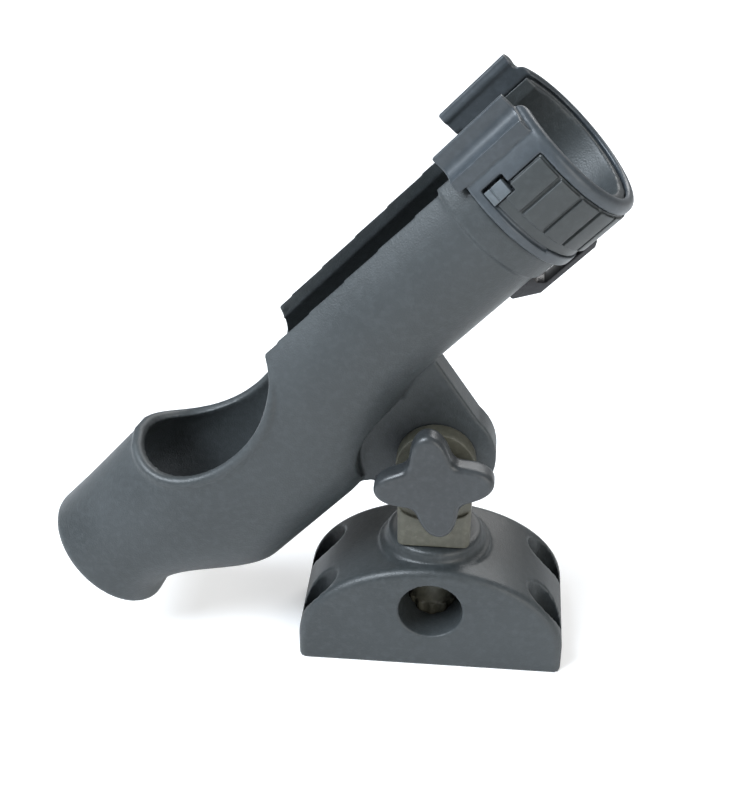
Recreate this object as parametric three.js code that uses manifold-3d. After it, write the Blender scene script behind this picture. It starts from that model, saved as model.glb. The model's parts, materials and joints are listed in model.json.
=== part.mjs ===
// Rod holder: a slotted tube with a turning lock ring, on a tilting post that drops into a deck mount.
// Millimetres, +Z up. The origin is the centre of the deck mount's underside. The holder's plane is XZ.
import * as THREE from "three";
import { mergeVertices } from "three/addons/utils/BufferGeometryUtils.js";
import Module from "manifold-3d";

const wasm = await Module();
wasm.setup();

// ---- Driving dimensions ----
const GAP = 0.3; // between faces that touch
const SLIDE_GAP = 0.4; // between faces that slide on each other
const THREAD_GAP = 0.15; // between a screw or insert and its hole

const MOUNT_WIDTH = 104;
const MOUNT_DEPTH = 50;
const MOUNT_SHOULDER = 10; // height where the straight sides end and the arch begins
const MOUNT_CROWN = 46; // height of the arch
const MOUNT_EDGE = 2.5; // rounding of the arch's front and back edges
const MOUNT_FLOOR = 2.5; // left under the socket
const BOSS_RADIUS = 19;
const BOSS_HEIGHT = 5; // above the crown
const BOSS_ROUND = 2.5;
const BOSS_FLARE = 2; // how far the boss spreads where it meets the arch
const CROSS_BORE_RADIUS = 12.4;
const CROSS_BORE_DROP = 19; // from the crown to the bore's axis
const SCREW_FROM_END = 7.8;
const SCREW_FROM_FACE = 10.4;
const SCREW_POCKET_RADIUS = 7;
const SCREW_HOLE_RADIUS = 2.9;
const SCREW_SEAT = 7; // thickness under the screw's head

const SPLINE_COUNT = 12;
const COLLAR_ROOT = 11.1;
const COLLAR_RIB = 2.2; // radius of one rib of the collar
const COLLAR_RIB_REACH = 12.3; // from the post's axis to the top of a rib
const COLLAR_LENGTH = 11.2;
const SHANK_RADIUS = 10.4;
const SHANK_LENGTH = 6.6;
const NECK_RADIUS = 9.1;
const FOOT_ROOT = 9.5;
const FOOT_RIB = 1.9;
const FOOT_RIB_REACH = 10.4;
const FOOT_LENGTH = 9.8;
const FOOT_GROOVE = 0.8; // depth and height of the groove above the foot
const FOOT_CLEARANCE = 6.6; // from the foot to the bottom of the socket

const BLOCK_LENGTH = 35.5; // from the pivot's axis to the block's underside
const BLOCK_HALF_WIDTH = 14;
const BLOCK_LIP = 1.6; // how far the block stands past the ear's near face
const BLOCK_FAR = 13.2; // from the holder's plane to the block's far face
const BLOCK_ROUND = 3;
const EAR_RADIUS = 15;
const EAR_THICKNESS = 7.4;

const TUBE_PITCH = 46.5; // degrees above level
const TUBE_RADIUS = 27.8;
const TUBE_WALL = 3.6;
const TUBE_FRONT = 120.2; // from the pivot to the front end of the neck, along the tube
const BUTT_END = -132.5;
const BUTT_RADIUS = 27;
const BUTT_EDGE = 3;
const WAIST_DEPTH = 24.4; // below the tube's axis, where the butt is narrowest
const BELLY_DEPTH = 47.2;
const BELLY_REAR = [-119, -79]; // where the belly swells out of the butt
const BELLY_FRONT = [-36, 24]; // where it fades into the tube
const BELLY_HOLLOW = [-66, -42]; // where the hollow inside it fades
const SLOT_HALF_WIDTH = 18.2;
const SLOT_BOTTOM = 4; // above the tube's axis
const CUTOUT_CENTRE = -42.5;
const CUTOUT_HALF_LENGTH = 35.5;
const CUTOUT_RIM = 27; // height of the cut-out's centre above the tube's axis
const CUTOUT_DEPTH = 25.5;

const WEB_HALF = 6.2; // half the bracket's thickness
const BRACKET_DROP = 29.6; // from the pivot's axis to the tube's underside
const BRACKET_RADIUS = 22.4;
const BRACKET_FRONT_TOP = 31; // where the front flank meets the tube
const BRACKET_HEEL = [-25.7, 9]; // corners of the rear flank
const BRACKET_TAIL = [-34, 15.5];
const BRACKET_ROOT = 8; // how far the bracket runs up into the tube
const POCKET_SKIN = 0.2; // between the clamp's pocket and the tube's underside
const TOOTH_COUNT = 24;
const TOOTH_INNER = 8.6;
const TOOTH_OUTER = 12.9;
const TOOTH_SIDE = 1.3; // side of the square bar that makes one tooth

const RING_LENGTH = 31.2;
const RING_WALL = 3.4;
const RING_OVERHANG = 1.8; // how far the ring's lip stands past the neck
const RING_LIP_ROUND = 2.6;
const RING_LIP_INWARD = 0.6; // how far the lip reaches in over the neck's end
const RING_BAND = 3.4; // width of the plain band at the ring's rear
const RING_CHAMFER = 0.6;
const RING_GROOVE_WIDTH = 1.2;
const RING_GROOVE_DEPTH = 1.6;
const RING_GROOVE_END = 121; // degrees from the top
const RING_RIB_PLACE = 9.2; // from the ring's rear to the rib inside it
const RING_RIB_WIDTH = 2.2;
const RING_RIB_HEIGHT = 1;
const BAND_LENGTH = 10.3; // raised band on the tube, behind the ring
const BAND_RISE = 1.2;
const FLANGE_RISE = 7.5; // height of the flange along the ring's gap
const FLANGE_PLATE = 2.4;
const FLANGE_FOOT = 3; // how far its fillet spreads
const FLANGE_CHAMFER = 0.8;
const FLANGE_REACH = 2.6; // how far it reaches back over the tube's band
const GRIP_START = 69; // degrees from the top
const GRIP_DEPTH = 1.7; // how far the grip is let into the ring
const GRIP_LAND = 4.8; // plain width of the ring in front of the grip
const GRIP_SKIN = 0.17; // how far the grip stands proud of the ring
const GRIP_STEP = 0.5; // the same for a raised panel
const GRIP_PANELS = 12;
const GRIP_PANEL_SHARE = 0.72; // of the panel's pitch
const GRIP_PANEL_LENGTH = 16;
const WINDOW_ANGLE = [62, 75]; // degrees from the top
const WINDOW_LENGTH = 9;
const DETENT_ANGLE = [66, 74.5];
const DETENT_LENGTH = 6.4;

const CATCH_PLACE = 14.5; // from the catch's rear end to the tube's raised band
const CATCH_ROOT_LENGTH = 11;
const CATCH_LENGTH = 36.5;
const CATCH_HALF_WIDTH = 4.4;
const CATCH_THICKNESS = 2;
const CATCH_SLOPE = 9; // length of the sloped end outside

const BOLT_RADIUS = 4;
const BOLT_HEAD_RADIUS = 7.4;
const BOLT_HEAD_HEIGHT = 5;
const BOLT_ENGAGEMENT = 8.4; // length of thread inside the insert
const WASHER_RADIUS = 9;
const WASHER_THICKNESS = 1.6;
const WAVE_OUTER = 7.6;
const WAVE_INNER = 5.2;
const INSERT_RADIUS = 6.4; // across the corners of the hexagon
const INSERT_LENGTH = 9;
const KNOB_REACH = 22.4; // from the knob's axis to the tip of a lobe
const KNOB_WAIST = 11.6;
const KNOB_HUB_RADIUS = 9.6;
const KNOB_HUB_LENGTH = 3.2; // from the knob's back to its lobes
const KNOB_THICKNESS = 12.2; // hub and lobes together
const KNOB_ROUND = 1.8;
const KNOB_LOBES = 4;
const KNOB_LOBE_SHARPNESS = 1.15;
const KNOB_PHASE = 8; // degrees

// ---- Worked out from them ----
const RAD = Math.PI / 180;
const ARCH_STEPS = 24;
const KNOB_STEPS = 64;
const BOSS_TOP = MOUNT_CROWN + BOSS_HEIGHT;
const CROSS_BORE_HEIGHT = MOUNT_CROWN - CROSS_BORE_DROP;
const SCREW_X = MOUNT_WIDTH / 2 - SCREW_FROM_END;
const SCREW_Y = MOUNT_DEPTH / 2 - SCREW_FROM_FACE;
const POST_LENGTH = BOSS_TOP + GAP - MOUNT_FLOOR - FOOT_CLEARANCE;
const NECK_LENGTH = POST_LENGTH - COLLAR_LENGTH - SHANK_LENGTH - FOOT_LENGTH;
const PIVOT_HEIGHT = BOSS_TOP + GAP + BLOCK_LENGTH;
const TUBE_RISE = TUBE_RADIUS + BRACKET_DROP;
const TUBE_BORE = TUBE_RADIUS - TUBE_WALL;
const POCKET_RADIUS = BRACKET_DROP - POCKET_SKIN;
const EAR_FAR_FACE = -WEB_HALF - SLIDE_GAP;
const EAR_NEAR_FACE = EAR_FAR_FACE - EAR_THICKNESS;
const BLOCK_NEAR = BLOCK_LIP - EAR_NEAR_FACE;
const CLEAR_OF_BRACKET = BRACKET_RADIUS + 2 * SLIDE_GAP;
const TOOTH_HEIGHT = TOOTH_SIDE / Math.SQRT2;
const TOOTH_RECESS = 2 * TOOTH_HEIGHT + SLIDE_GAP;
const KNOB_BACK = EAR_NEAR_FACE - GAP - WASHER_THICKNESS - GAP;
const RING_FRONT = TUBE_FRONT + RING_OVERHANG;
const RING_REAR = RING_FRONT - RING_LENGTH;
const RING_BORE = TUBE_RADIUS + SLIDE_GAP;
const RING_RADIUS = RING_BORE + RING_WALL;
const RING_RIB_START = RING_REAR + RING_RIB_PLACE;
const RING_GAP_HALF = SLOT_HALF_WIDTH + GAP;
const BAND_START = RING_REAR - BAND_LENGTH;
const BAND_RADIUS = TUBE_RADIUS + BAND_RISE;
const FLANGE_REAR = RING_REAR - FLANGE_REACH;
const WINDOW_REAR = RING_REAR + RING_BAND;
const GRIP_REAR = WINDOW_REAR + RING_GROOVE_WIDTH;
const GRIP_FRONT = RING_FRONT - GRIP_LAND;
const CATCH_START = BAND_START - CATCH_PLACE;

// ---- Helpers ----
const smooth = (from, to, x) => THREE.MathUtils.smoothstep(x, from, to);
const mix = THREE.MathUtils.lerp;

function solid(geometry) {
  const g = geometry.index ? geometry.toNonIndexed() : geometry.clone();
  const bare = new THREE.BufferGeometry().setAttribute("position", g.getAttribute("position"));
  const merged = mergeVertices(bare, 1e-4);
  return new wasm.Manifold(
    new wasm.Mesh({
      numProp: 3,
      vertProperties: merged.attributes.position.array,
      triVerts: new Uint32Array(merged.index.array),
    }),
  );
}

function geometryOf(made) {
  const mesh = made.getMesh();
  const positions = new Float32Array((mesh.vertProperties.length / mesh.numProp) * 3);
  for (let i = 0, n = positions.length / 3; i < n; i++)
    for (let k = 0; k < 3; k++) positions[3 * i + k] = mesh.vertProperties[mesh.numProp * i + k];
  const geometry = new THREE.BufferGeometry();
  geometry.setAttribute("position", new THREE.BufferAttribute(positions, 3));
  geometry.setIndex(new THREE.BufferAttribute(new Uint32Array(mesh.triVerts), 1));
  geometry.computeVertexNormals();
  return geometry;
}

const union = (parts) => parts.reduce((a, b) => a.add(b));
const cutAll = (body, cuts) => cuts.reduce((a, b) => a.subtract(b), body);

function box(x0, x1, y0, y1, z0, z1) {
  const g = new THREE.BoxGeometry(x1 - x0, y1 - y0, z1 - z0);
  g.translate((x0 + x1) / 2, (y0 + y1) / 2, (z0 + z1) / 2);
  return solid(g);
}

// A ring or disc turned about X from points [place along X, radius].
function turnedX(points, segments = 48) {
  const profile = points.map(([x, r]) => new THREE.Vector2(r, x));
  const g = new THREE.LatheGeometry(profile, segments);
  g.rotateZ(-Math.PI / 2);
  const made = solid(g);
  return made.volume() < 0 ? flipped(g) : made;
}

// The same turned about Y, from points [place along Y, radius].
function turnedY(points, segments = 28) {
  const g = new THREE.LatheGeometry(points.map(([y, r]) => new THREE.Vector2(r, y)), segments);
  const made = solid(g);
  return made.volume() < 0 ? flipped(g) : made;
}

function flipped(geometry) {
  const g = geometry.index ? geometry.toNonIndexed() : geometry;
  const p = g.getAttribute("position");
  const out = new Float32Array(p.array.length);
  for (let i = 0; i < p.count; i += 3)
    [0, 2, 1].forEach((from, to) => {
      for (let k = 0; k < 3; k++) out[3 * (i + to) + k] = p.array[3 * (i + from) + k];
    });
  return solid(new THREE.BufferGeometry().setAttribute("position", new THREE.BufferAttribute(out, 3)));
}

// A shape drawn in XZ and extruded along Y.
function plateY(shape, y0, y1, curveSegments = 24) {
  const g = new THREE.ExtrudeGeometry(shape, { depth: y1 - y0, bevelEnabled: false, curveSegments });
  g.rotateX(Math.PI / 2);
  g.translate(0, y1, 0);
  return solid(g);
}

function discY(radius, y0, y1, segments = 40) {
  return turnedY([[y0, 0], [y0, radius], [y1, radius], [y1, 0]], segments);
}

function discZ(radius, z0, z1, segments = 36, x = 0, y = 0) {
  const g = new THREE.CylinderGeometry(radius, radius, z1 - z0, segments);
  g.rotateX(Math.PI / 2);
  g.translate(x, y, (z0 + z1) / 2);
  return solid(g);
}

// A skin through closed sections along X: each is [x, half width, height above, depth below] about z = rise.
function loftX(sections, rise, around = 40) {
  const positions = [];
  const index = [];
  for (const [x, half, above, below] of sections)
    for (let k = 0; k < around; k++) {
      const a = (k / around) * 2 * Math.PI;
      const up = Math.cos(a);
      positions.push(x, half * Math.sin(a), rise + up * (up > 0 ? above : below));
    }
  const ring = (i, k) => i * around + (k % around);
  for (let i = 0; i + 1 < sections.length; i++)
    for (let k = 0; k < around; k++) {
      index.push(ring(i, k), ring(i, k + 1), ring(i + 1, k));
      index.push(ring(i, k + 1), ring(i + 1, k + 1), ring(i + 1, k));
    }
  const ends = [0, sections.length - 1];
  ends.forEach((i, which) => {
    const centre = positions.length / 3;
    positions.push(sections[i][0], 0, rise);
    for (let k = 0; k < around; k++) {
      const [a, b] = which === 0 ? [k + 1, k] : [k, k + 1];
      index.push(centre, ring(i, a), ring(i, b));
    }
  });
  const g = new THREE.BufferGeometry();
  g.setAttribute("position", new THREE.Float32BufferAttribute(positions, 3));
  g.setIndex(index);
  const made = solid(g);
  return made.volume() < 0 ? flipped(g) : made;
}

// A wedge about the tube's axis (X) between two angles from the top, near side (-Y) positive.
function sector(x0, x1, r0, r1, from, to, rise, steps = 24) {
  const point = (r, deg) => new THREE.Vector2(-r * Math.sin(deg * RAD), r * Math.cos(deg * RAD));
  const outline = [];
  for (let k = 0; k <= steps; k++) outline.push(point(r1, mix(from, to, k / steps)));
  for (let k = steps; k >= 0; k--) outline.push(point(r0, mix(from, to, k / steps)));
  const g = new THREE.ExtrudeGeometry(new THREE.Shape(outline), { depth: x1 - x0, bevelEnabled: false });
  g.applyMatrix4(new THREE.Matrix4().set(0, 0, 1, x0, 1, 0, 0, 0, 0, 1, 0, rise, 0, 0, 0, 1));
  return solid(g);
}

// A round bar with ribs along it: the root circle and a circle for each rib.
function splined(root, rib, reach, z0, z1) {
  const ribs = [];
  for (let k = 0; k < SPLINE_COUNT; k++) {
    const a = (k / SPLINE_COUNT) * 2 * Math.PI;
    ribs.push(discZ(rib, z0, z1, 10, (reach - rib) * Math.cos(a), (reach - rib) * Math.sin(a)));
  }
  return union([discZ(root, z0, z1, 36), ...ribs]);
}

// Radial teeth standing out of a face at y, as square bars laid on their corners.
function faceTeeth(y) {
  const teeth = [];
  for (let k = 0; k < TOOTH_COUNT; k++) {
    const g = new THREE.BoxGeometry(TOOTH_OUTER - TOOTH_INNER, TOOTH_SIDE, TOOTH_SIDE);
    g.rotateX(Math.PI / 4);
    g.translate((TOOTH_OUTER + TOOTH_INNER) / 2, 0, 0);
    g.rotateY((k / TOOTH_COUNT) * 2 * Math.PI);
    g.translate(0, y, 0);
    teeth.push(solid(g));
  }
  return union(teeth);
}

// ---- Deck mount ----
function deckMount() {
  const half = MOUNT_WIDTH / 2;
  const arch = (inset) => {
    const outline = [new THREE.Vector2(-half + inset, 0), new THREE.Vector2(half - inset, 0)];
    for (let k = 0; k <= ARCH_STEPS; k++) {
      const a = (k / ARCH_STEPS) * Math.PI;
      const rise = MOUNT_CROWN - MOUNT_SHOULDER - inset;
      outline.push(new THREE.Vector2((half - inset) * Math.cos(a), MOUNT_SHOULDER + rise * Math.sin(a)));
    }
    return new THREE.Shape(outline);
  };
  const front = MOUNT_DEPTH / 2;
  const layers = [0, 0.3, 1].map((share) => {
    const inset = MOUNT_EDGE * (1 - Math.sqrt(1 - share * share));
    const y = front - MOUNT_EDGE * (1 - share);
    return plateY(arch(inset), -y, y);
  });
  const bossTop = BOSS_TOP - BOSS_ROUND;
  const bossFoot = BOSS_RADIUS + BOSS_FLARE;
  const bossProfile = [[MOUNT_CROWN / 2, 0], [MOUNT_CROWN / 2, bossFoot], [MOUNT_CROWN - 1, bossFoot]];
  bossProfile.push([MOUNT_CROWN + 0.4, BOSS_RADIUS + BOSS_FLARE / 3], [MOUNT_CROWN + 1.4, BOSS_RADIUS]);
  for (let k = 0; k <= 4; k++) {
    const a = (k / 4) * (Math.PI / 2);
    const r = BOSS_RADIUS - BOSS_ROUND + BOSS_ROUND * Math.cos(a);
    bossProfile.push([bossTop + BOSS_ROUND * Math.sin(a), r]);
  }
  bossProfile.push([BOSS_TOP, 0]);
  const boss = turnedY(bossProfile, 40).rotate([90, 0, 0]);
  const socket = (root, rib, reach, z0, z1) =>
    splined(root + SLIDE_GAP, rib + SLIDE_GAP, reach + SLIDE_GAP, z0, z1);
  const cuts = [
    socket(COLLAR_ROOT, COLLAR_RIB, COLLAR_RIB_REACH, CROSS_BORE_HEIGHT, BOSS_TOP + 1),
    socket(FOOT_ROOT, FOOT_RIB, FOOT_RIB_REACH, MOUNT_FLOOR, CROSS_BORE_HEIGHT),
    discY(CROSS_BORE_RADIUS, -MOUNT_DEPTH, MOUNT_DEPTH, 36).translate([0, 0, CROSS_BORE_HEIGHT]),
  ];
  for (const sx of [-1, 1])
    for (const sy of [-1, 1]) {
      const [x, y] = [sx * SCREW_X, sy * SCREW_Y];
      cuts.push(discZ(SCREW_POCKET_RADIUS, SCREW_SEAT, MOUNT_CROWN, 24, x, y));
      cuts.push(discZ(SCREW_HOLE_RADIUS, -1, SCREW_SEAT + 1, 12, x, y));
    }
  return cutAll(union([...layers, boss]), cuts);
}

// ---- Post with its ear; the pivot's axis is the origin and the post points down ----
function stem() {
  const down = (length) => -length;
  const collarEnd = BLOCK_LENGTH + COLLAR_LENGTH;
  const shankEnd = collarEnd + SHANK_LENGTH;
  const neckEnd = shankEnd + NECK_LENGTH;
  const footEnd = neckEnd + FOOT_LENGTH;
  const blockShape = new THREE.Shape();
  const w = BLOCK_HALF_WIDTH;
  blockShape.moveTo(-w, down(BLOCK_LENGTH));
  blockShape.lineTo(w, down(BLOCK_LENGTH));
  blockShape.lineTo(w, 0);
  blockShape.lineTo(-w, 0);
  const sideShape = new THREE.Shape();
  const r = BLOCK_ROUND;
  sideShape.moveTo(-BLOCK_NEAR + r, -w - 1);
  sideShape.lineTo(BLOCK_FAR - r, -w - 1);
  sideShape.absarc(BLOCK_FAR - r, -w + r, r, -Math.PI / 2, 0, false);
  sideShape.absarc(BLOCK_FAR - r, w - r, r, 0, Math.PI / 2, false);
  sideShape.absarc(-BLOCK_NEAR + r, w - r, r, Math.PI / 2, Math.PI, false);
  sideShape.absarc(-BLOCK_NEAR + r, -w + r, r, Math.PI, 1.5 * Math.PI, false);
  const depth = BLOCK_LENGTH;
  const turned = new THREE.ExtrudeGeometry(sideShape, { depth, bevelEnabled: false, curveSegments: 6 });
  turned.rotateZ(Math.PI / 2);
  turned.scale(-1, 1, 1);
  turned.translate(0, 0, down(BLOCK_LENGTH));
  let block = plateY(blockShape, -BLOCK_NEAR, BLOCK_FAR).intersect(flipped(turned));
  block = cutAll(block, [
    discY(CLEAR_OF_BRACKET, EAR_FAR_FACE, BLOCK_FAR + 1),
    discY(KNOB_REACH + 2 * SLIDE_GAP, -BLOCK_NEAR - 1, EAR_NEAR_FACE),
  ]);
  const ear = union([
    discY(EAR_RADIUS, EAR_NEAR_FACE, EAR_FAR_FACE),
    box(-w, w, EAR_NEAR_FACE, EAR_FAR_FACE, down(CLEAR_OF_BRACKET), 0),
  ]);
  const recess = discY(TOOTH_OUTER + SLIDE_GAP, EAR_FAR_FACE - TOOTH_RECESS, EAR_FAR_FACE + 1);
  const grooveR = NECK_RADIUS - FOOT_GROOVE;
  const post = [
    splined(COLLAR_ROOT, COLLAR_RIB, COLLAR_RIB_REACH, down(collarEnd), down(BLOCK_LENGTH - 1)),
    discZ(SHANK_RADIUS, down(shankEnd), down(collarEnd), 12),
    discZ(NECK_RADIUS, down(neckEnd - 1), down(shankEnd), 30),
    discZ(grooveR, down(neckEnd), down(neckEnd - 1), 30),
    splined(FOOT_ROOT, FOOT_RIB, FOOT_RIB_REACH, down(footEnd), down(neckEnd)),
  ];
  const bolt = discY(BOLT_RADIUS + GAP, -BLOCK_NEAR - 2, BLOCK_FAR, 32);
  const head = union([block, ear]).subtract(recess);
  return union([head, faceTeeth(EAR_FAR_FACE - TOOTH_RECESS), ...post]).subtract(bolt);
}

// ---- Holder: tube, belly, butt and bracket. X runs along the tube, the pivot's axis is the origin ----
function bodyDepth(x) {
  const swell = smooth(BELLY_REAR[0], BELLY_REAR[1], x);
  const fade = smooth(BELLY_FRONT[0], BELLY_FRONT[1], x);
  const rear = mix(BUTT_RADIUS, WAIST_DEPTH, smooth(BUTT_END, BELLY_REAR[0], x));
  return mix(mix(rear, BELLY_DEPTH, swell), TUBE_RADIUS, fade);
}

const bodyRadius = (x) => mix(BUTT_RADIUS, TUBE_RADIUS, smooth(BELLY_REAR[0], BELLY_REAR[1], x));

function stations() {
  const places = [];
  const step = (from, to, count) => {
    for (let k = 0; k < count; k++) places.push(mix(from, to, k / count));
  };
  step(BUTT_END + BUTT_EDGE, BELLY_REAR[0], 2);
  step(BELLY_REAR[0], BELLY_REAR[1], 8);
  step(BELLY_REAR[1], BELLY_FRONT[0], 2);
  step(BELLY_FRONT[0], BELLY_FRONT[1], 8);
  places.push(BELLY_FRONT[1]);
  return places;
}

function holderBody() {
  const outer = [];
  for (let k = 0; k <= 4; k++) {
    const a = (k / 4) * (Math.PI / 2);
    const inset = BUTT_EDGE * (1 - Math.sin(a));
    const r = BUTT_RADIUS - inset;
    outer.push([BUTT_END + BUTT_EDGE * (1 - Math.cos(a)), r, r, r]);
  }
  outer.pop();
  for (const x of stations()) outer.push([x, bodyRadius(x), bodyRadius(x), bodyDepth(x)]);
  const even = (x, r) => [x, r, r, r];
  outer.push(even(BAND_START, TUBE_RADIUS), even(BAND_START + 0.4, BAND_RADIUS));
  const bandEnd = RING_REAR - SLIDE_GAP;
  outer.push(even(bandEnd - 0.01, BAND_RADIUS), even(bandEnd, TUBE_RADIUS), even(TUBE_FRONT, TUBE_RADIUS));
  const inner = stations().map((x) => {
    const r = bodyRadius(x) - TUBE_WALL;
    const hollow = 1 - smooth(BELLY_HOLLOW[0], BELLY_HOLLOW[1], x);
    return [x, r, r, mix(TUBE_BORE, bodyDepth(x) - TUBE_WALL, hollow)];
  });
  const buttBore = BUTT_RADIUS - TUBE_WALL;
  const bore = [even(BUTT_END - 1, buttBore), ...inner, even(TUBE_FRONT + 1, TUBE_BORE)];

  const outline = new THREE.Shape();
  const bracketTop = BRACKET_DROP + BRACKET_ROOT;
  outline.moveTo(BRACKET_FRONT_TOP, bracketTop);
  outline.lineTo(BRACKET_RADIUS, 0);
  outline.absarc(0, 0, BRACKET_RADIUS, 0, -Math.PI, true);
  outline.lineTo(...BRACKET_HEEL);
  outline.lineTo(...BRACKET_TAIL);
  outline.lineTo(BRACKET_TAIL[0], bracketTop);
  const web = plateY(new THREE.Shape(outline.getPoints(18).reverse()), -WEB_HALF, WEB_HALF);
  const pockets = [1, -1].map((side) => {
    const [y0, y1] = side > 0 ? [WEB_HALF, 60] : [-60, -WEB_HALF];
    return discY(POCKET_RADIUS, y0, y1, 48);
  });
  const grooveR = TUBE_RADIUS - RING_RIB_HEIGHT - SLIDE_GAP;
  const grooveFrom = RING_RIB_START - SLIDE_GAP;
  const grooveTo = RING_RIB_START + RING_RIB_WIDTH + SLIDE_GAP;
  const retainer = turnedX([
    [grooveFrom, grooveR], [grooveFrom, TUBE_RADIUS + 1], [grooveTo, TUBE_RADIUS + 1], [grooveTo, grooveR],
    [grooveFrom, grooveR],
  ]).translate([0, 0, TUBE_RISE]);
  const cutout = new THREE.Shape();
  const rim = TUBE_RISE + CUTOUT_RIM;
  cutout.absellipse(CUTOUT_CENTRE, rim, CUTOUT_HALF_LENGTH, CUTOUT_DEPTH, 0, 2 * Math.PI, false);
  const tubeTop = TUBE_RISE + TUBE_RADIUS + 2;
  const slotFloor = TUBE_RISE + SLOT_BOTTOM;
  const slot = box(CUTOUT_CENTRE, TUBE_FRONT + 2, -SLOT_HALF_WIDTH, SLOT_HALF_WIDTH, slotFloor, tubeTop);
  let shell = loftX(outer, TUBE_RISE).subtract(union(pockets));
  shell = cutAll(shell.add(web), [loftX(bore, TUBE_RISE), retainer, slot, plateY(cutout, -50, 50, 24)]);
  shell = shell.add(faceTeeth(-WEB_HALF));
  return shell.subtract(discY(BOLT_RADIUS + THREAD_GAP, -WEB_HALF - 3, WEB_HALF + 1, 32));
}

// ---- Lock ring, turning on the tube's neck ----
function ringFlange(side) {
  const root = Math.sqrt((RING_RADIUS - 1) ** 2 - RING_GAP_HALF ** 2);
  const top = root + FLANGE_RISE;
  const [inner, outer] = [RING_GAP_HALF, RING_GAP_HALF + FLANGE_PLATE];
  const outline = [
    [inner, root - 3], [inner, top - FLANGE_CHAMFER], [inner + FLANGE_CHAMFER, top],
    [outer - FLANGE_CHAMFER, top], [outer, top - FLANGE_CHAMFER], [outer + FLANGE_FOOT * 0.3, root + 0.6],
    [outer + FLANGE_FOOT, root - 2], [outer + FLANGE_FOOT, root - 5],
  ].map(([y, z]) => new THREE.Vector2(side * y, z));
  if (side > 0) outline.reverse();
  const depth = RING_FRONT - RING_LIP_ROUND - FLANGE_REAR;
  const g = new THREE.ExtrudeGeometry(new THREE.Shape(outline), { depth, bevelEnabled: false });
  g.applyMatrix4(new THREE.Matrix4().set(0, 0, 1, FLANGE_REAR, 1, 0, 0, 0, 0, 1, 0, TUBE_RISE, 0, 0, 0, 1));
  const made = solid(g);
  return made.volume() < 0 ? flipped(g) : made;
}

function lockRing() {
  const lip = [];
  for (let k = 0; k <= 4; k++) {
    const a = (k / 4) * (Math.PI / 2);
    const x = RING_FRONT - RING_LIP_ROUND + RING_LIP_ROUND * Math.sin(a);
    lip.push([x, RING_RADIUS - RING_LIP_ROUND + RING_LIP_ROUND * Math.cos(a)]);
  }
  const lipBack = TUBE_FRONT + SLIDE_GAP;
  const lipInner = TUBE_RADIUS - RING_LIP_INWARD;
  const ribEnd = RING_RIB_START + RING_RIB_WIDTH;
  const ribR = RING_BORE - RING_RIB_HEIGHT - SLIDE_GAP / 2;
  const c = RING_CHAMFER;
  const profile = [
    [RING_REAR, RING_BORE], [RING_REAR, RING_RADIUS - c], [RING_REAR + c, RING_RADIUS],
    ...lip, [RING_FRONT, lipInner + c], [RING_FRONT - c, lipInner],
    [lipBack, lipInner], [lipBack, RING_BORE], [ribEnd, RING_BORE], [ribEnd, ribR],
    [RING_RIB_START, ribR], [RING_RIB_START, RING_BORE], [RING_REAR, RING_BORE],
  ];
  const turned = turnedX(profile, 64).translate([0, 0, TUBE_RISE]);
  const above = RING_RADIUS + FLANGE_RISE;
  const gapFloor = TUBE_RISE + SLOT_BOTTOM;
  const opening = box(
    FLANGE_REAR - 1, RING_FRONT + 1, -RING_GAP_HALF, RING_GAP_HALF, gapFloor, TUBE_RISE + above,
  );
  const overBand = BAND_RADIUS + SLIDE_GAP;
  const bore = turnedX([
    [FLANGE_REAR - 1, 0], [FLANGE_REAR - 1, overBand], [RING_REAR, overBand], [RING_REAR, RING_BORE],
    [lipBack, RING_BORE], [lipBack, 0],
  ], 64).translate([0, 0, TUBE_RISE]);
  const flanges = ringFlange(-1).add(ringFlange(1)).subtract(bore);
  const seatFrom = GRIP_START - 0.5;
  const seat = sector(
    GRIP_REAR - GAP, GRIP_FRONT + GAP, RING_RADIUS - GRIP_DEPTH, above,
    seatFrom, 360 - seatFrom, TUBE_RISE, 44,
  );
  const groove = sector(
    WINDOW_REAR, WINDOW_REAR + RING_GROOVE_WIDTH, RING_RADIUS - RING_GROOVE_DEPTH, above,
    WINDOW_ANGLE[0], RING_GROOVE_END, TUBE_RISE, 12,
  );
  return cutAll(turned.subtract(opening).add(flanges), [seat, groove, ringWindow(0)]);
}

function ringWindow(clearance) {
  const [from, to] = WINDOW_ANGLE;
  const end = WINDOW_REAR + WINDOW_LENGTH + clearance;
  return sector(WINDOW_REAR, end, RING_BORE - 1, RING_RADIUS + FLANGE_RISE, from, to, TUBE_RISE, 3);
}

function ringGrip() {
  const [from, to] = [GRIP_START, 360 - GRIP_START];
  const inner = RING_RADIUS - GRIP_DEPTH + GAP;
  const parts = [sector(GRIP_REAR, GRIP_FRONT, inner, RING_RADIUS + GRIP_SKIN, from, to, TUBE_RISE, 44)];
  const pitch = (to - from) / GRIP_PANELS;
  const panelEnd = GRIP_FRONT - 1;
  for (let k = 1; k < GRIP_PANELS; k++) {
    const start = from + pitch * k;
    const end = start + pitch * GRIP_PANEL_SHARE;
    const panelStart = panelEnd - GRIP_PANEL_LENGTH;
    parts.push(sector(panelStart, panelEnd, inner + 0.5, RING_RADIUS + GRIP_STEP, start, end, TUBE_RISE, 3));
  }
  return union(parts).subtract(ringWindow(GAP));
}

function ringDetent() {
  const start = WINDOW_REAR + GAP;
  const top = RING_RADIUS - RING_CHAMFER;
  return sector(start, start + DETENT_LENGTH, RING_BORE, top, DETENT_ANGLE[0], DETENT_ANGLE[1], TUBE_RISE, 3);
}

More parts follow.
